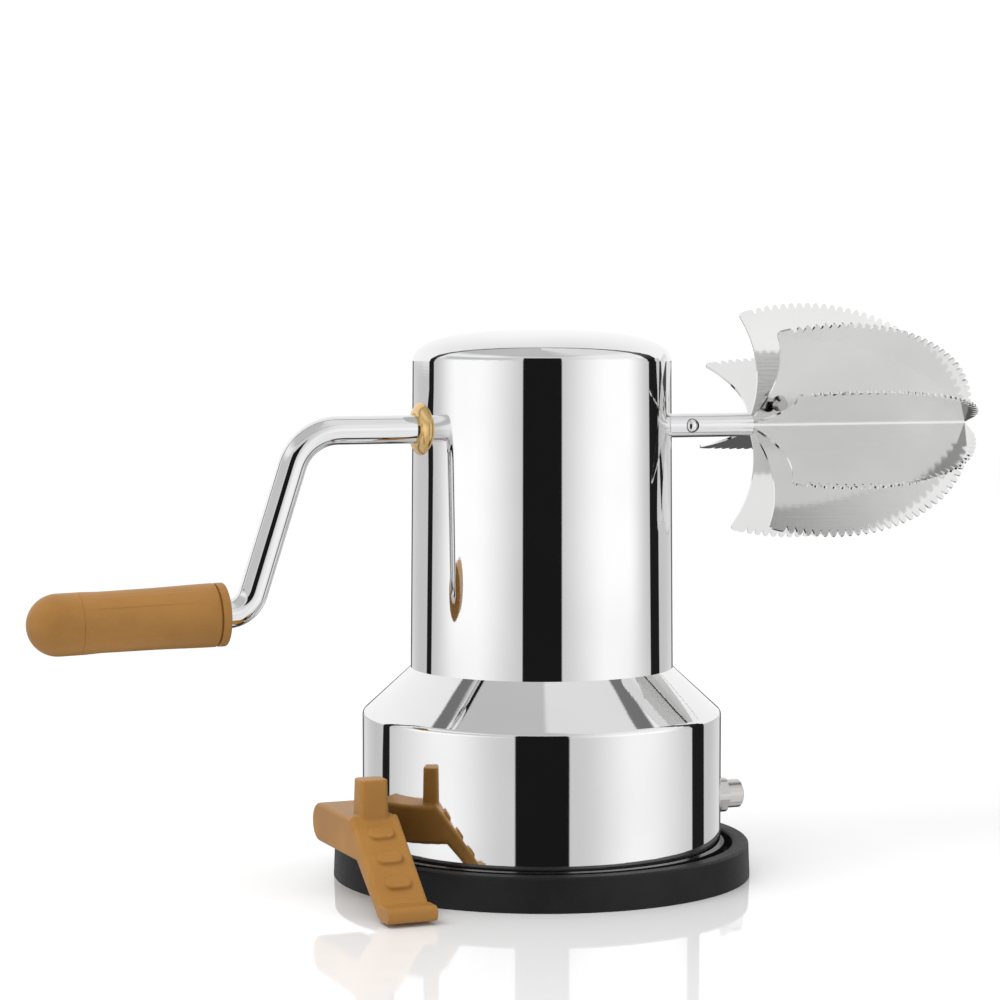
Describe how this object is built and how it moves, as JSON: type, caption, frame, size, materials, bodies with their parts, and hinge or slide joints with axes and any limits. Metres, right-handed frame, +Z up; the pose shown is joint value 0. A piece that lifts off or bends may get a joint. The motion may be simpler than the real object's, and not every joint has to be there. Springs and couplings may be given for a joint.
{
  "type": "rotary coconut scraper",
  "caption": "Hand-cranked coconut scraper: polished steel housing on a lever-operated suction base, cranked rod with turning grip, and a dome of folded toothed blades.",
  "frame": {"origin": "centre of the suction ring's underside, on the surface it stands on", "axes": "+X along the crank shaft towards the blades, +Z up, and the suction lever's paddle leans out to -Y"},
  "size_m": [0.2901, 0.12, 0.1645],
  "materials": {
    "rubber": "matte moulded rubber",
    "black_plastic": "matte moulded plastic",
    "polished_steel": "mirror polished stainless steel",
    "satin_steel": "turned stainless steel",
    "blade_steel": "fine brushed stainless sheet",
    "brass": "polished brass",
    "mustard_plastic": "moulded plastic with a soft sheen",
    "zinc_steel": "plain plated steel",
    "bush_plastic": "plain acetal"
  },
  "bodies": {
    "housing": {"suction_ring": "rubber", "suction_diaphragm": "rubber", "base_trim": "black_plastic", "base_plate": "zinc_steel", "base_housing": "polished_steel", "upper_housing": "polished_steel", "fixing_lugs": "zinc_steel", "base_screws": "zinc_steel", "bearing_tube": "zinc_steel", "crank_bush": "brass", "blade_bush": "satin_steel", "lever_bush_left": "bush_plastic", "lever_bush_right": "bush_plastic"},
    "crank": {"crank_rod": "polished_steel", "thrust_washer": "zinc_steel", "shaft_collar": "zinc_steel", "collar_screw": "zinc_steel", "detent_spring": "zinc_steel", "blade_socket": "satin_steel", "blade_core": "satin_steel", "blade_top": "blade_steel", "blade_front": "blade_steel", "blade_bottom": "blade_steel", "blade_back": "blade_steel", "blade_rivet": "satin_steel", "grip_retainer": "zinc_steel"},
    "grip": {"grip_flange": "mustard_plastic", "grip_sleeve": "mustard_plastic", "grip_end_cap": "mustard_plastic"},
    "detent": {"detent_ball": "polished_steel"},
    "lever": {"lever_handle": "mustard_plastic", "lever_shaft": "zinc_steel", "lever_cam": "zinc_steel", "cam_pin": "zinc_steel", "lever_pin": "zinc_steel", "lever_washer": "satin_steel", "lever_nut": "satin_steel", "lever_end_nut": "satin_steel"},
    "lift": {"pull_yoke": "zinc_steel", "pad_insert": "zinc_steel", "yoke_nut": "zinc_steel"}
  },
  "joints": [
    {"name": "crank_spin", "type": "hinge", "parent": "housing", "child": "crank", "pos_m": [0, 0, 0.1284], "axis": [1, 0, 0], "continuous": true},
    {"name": "grip_spin", "type": "hinge", "parent": "crank", "child": "grip", "pos_m": [-0.0882, 0, 0.0784], "axis": [-0.9997, 0, -0.0244], "continuous": true},
    {"name": "detent_press", "type": "slide", "parent": "crank", "child": "detent", "axis": [0, 1, 0], "range_m": [0, 0.00135], "stiffness_N_per_m": 1500, "springref_m": -0.0008, "deforming": ["detent_spring"]},
    {"name": "lever_turn", "type": "hinge", "parent": "housing", "child": "lever", "pos_m": [0, 0, 0.0188], "axis": [-1, 0, 0], "range_deg": [0, 90]},
    {"name": "pad_lift", "type": "slide", "parent": "housing", "child": "lift", "axis": [0, 0, -1], "range_m": [0, 0.00396], "deforming": ["suction_diaphragm"]}
  ],
  "couplings": [
    {"joint": "lever_turn", "follows": "pad_lift", "rad_per_m": 396.66}
  ]
}
